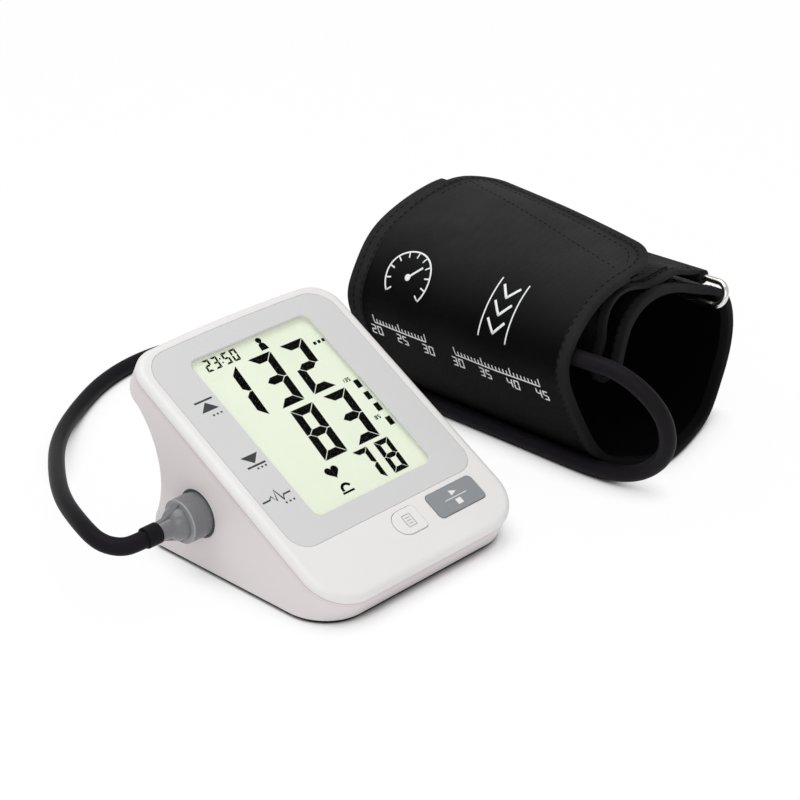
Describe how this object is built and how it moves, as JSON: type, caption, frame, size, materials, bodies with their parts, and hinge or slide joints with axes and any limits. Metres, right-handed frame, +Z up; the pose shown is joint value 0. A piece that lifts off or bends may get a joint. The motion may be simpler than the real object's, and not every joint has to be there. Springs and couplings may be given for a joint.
{
  "type": "blood pressure monitor",
  "caption": "Desktop digital blood pressure monitor with sloping display, two keys, plug-in air hose and a rolled ring-type arm cuff.",
  "frame": {"origin": "on the table under the middle of the monitor and cuff taken together", "axes": "+X to the monitor's right, +Y to the rear, +Z up"},
  "size_m": [0.3137, 0.2995, 0.0962],
  "materials": {
    "case_white": "satin",
    "panel_grey": "satin",
    "window_clear": "clear",
    "display": "matt",
    "frame_white": "satin",
    "strip_pink": "matt",
    "board_green": "satin",
    "steel": "satin",
    "key_grey": "satin",
    "key_white": "satin",
    "black_plastic": "satin",
    "motor_can": "satin",
    "pump_white": "satin",
    "foam_grey": "matt",
    "silicone": "matt",
    "plug_grey": "satin",
    "seal_black": "matt",
    "hose_black": "satin",
    "cell_wrap": "gloss",
    "foot_rubber": "matt",
    "cuff_black": "woven",
    "binding_black": "woven tape",
    "hook_black": "hook and loop",
    "bladder_rubber": "matt",
    "nickel": "polished"
  },
  "bodies": {
    "monitor": {"front_cover": "case_white", "rear_cover": "case_white", "display_panel": "panel_grey", "window_lens": "window_clear", "lcd_glass": "display", "lcd_holder": "frame_white", "connector_strips": "strip_pink", "main_board": "board_green", "board_screws": "steel", "key_switches": "black_plastic", "main_chip": "black_plastic", "beeper": "black_plastic", "pressure_sensor": "black_plastic", "pump_motor": "motor_can", "pump_head": "pump_white", "pump_cushion": "foam_grey", "release_valve": "black_plastic", "air_manifold": "silicone", "air_socket": "black_plastic", "air_hose": "hose_black", "battery_cells": "cell_wrap", "front_contacts": "steel", "rear_contacts": "steel", "rubber_feet": "foot_rubber", "case_screws": "steel", "cuff_outer_cloth": "cuff_black", "cuff_bladder": "bladder_rubber", "cuff_lining": "cuff_black", "front_binding": "binding_black", "rear_binding": "binding_black", "ring_strap": "cuff_black", "loop_patch": "hook_black", "bladder_nipple": "black_plastic"},
    "start_button": {"start_key": "key_grey", "start_plunger": "black_plastic"},
    "memory_button": {"memory_key": "key_white", "memory_plunger": "black_plastic"},
    "hose_plug": {"air_plug": "plug_grey", "plug_seal": "seal_black", "hose_collar": "seal_black"},
    "battery_lid": {"battery_door": "case_white"},
    "pump_rotor": {"pump_shaft": "steel"},
    "valve_core": {"valve_plunger": "steel"},
    "flap": {"cuff_flap": "cuff_black", "hook_patch": "hook_black"},
    "ring": {"cuff_ring": "nickel"}
  },
  "joints": [
    {"name": "start_press", "type": "slide", "parent": "monitor", "child": "start_button", "axis": [0, 0.515, -0.8572], "range_m": [0, 0.0006], "stiffness_N_per_m": 2500},
    {"name": "memory_press", "type": "slide", "parent": "monitor", "child": "memory_button", "axis": [0, 0.515, -0.8572], "range_m": [0, 0.0006], "stiffness_N_per_m": 2500},
    {"name": "plug_pull", "type": "slide", "parent": "monitor", "child": "hose_plug", "axis": [-1, 0, 0], "range_m": [0, 0.02], "deforming": ["air_hose"]},
    {"name": "door_slide", "type": "slide", "parent": "monitor", "child": "battery_lid", "axis": [0, 1, 0], "range_m": [0, 0.04]},
    {"name": "pump_spin", "type": "hinge", "parent": "monitor", "child": "pump_rotor", "pos_m": [-0.078, 0.0065, 0.036], "axis": [1, 0, 0], "continuous": true},
    {"name": "valve_stroke", "type": "slide", "parent": "monitor", "child": "valve_core", "axis": [-1, 0, 0], "range_m": [0, 0.001], "stiffness_N_per_m": 300},
    {"name": "flap_lift", "type": "hinge", "parent": "monitor", "child": "flap", "pos_m": [0.0697, 0, 0.09521], "axis": [0, -1, 0], "range_deg": [0, 80]},
    {"name": "ring_tip", "type": "hinge", "parent": "monitor", "child": "ring", "pos_m": [0.115, 0, 0.071], "axis": [0, 1, 0], "range_deg": [0, 6]}
  ]
}
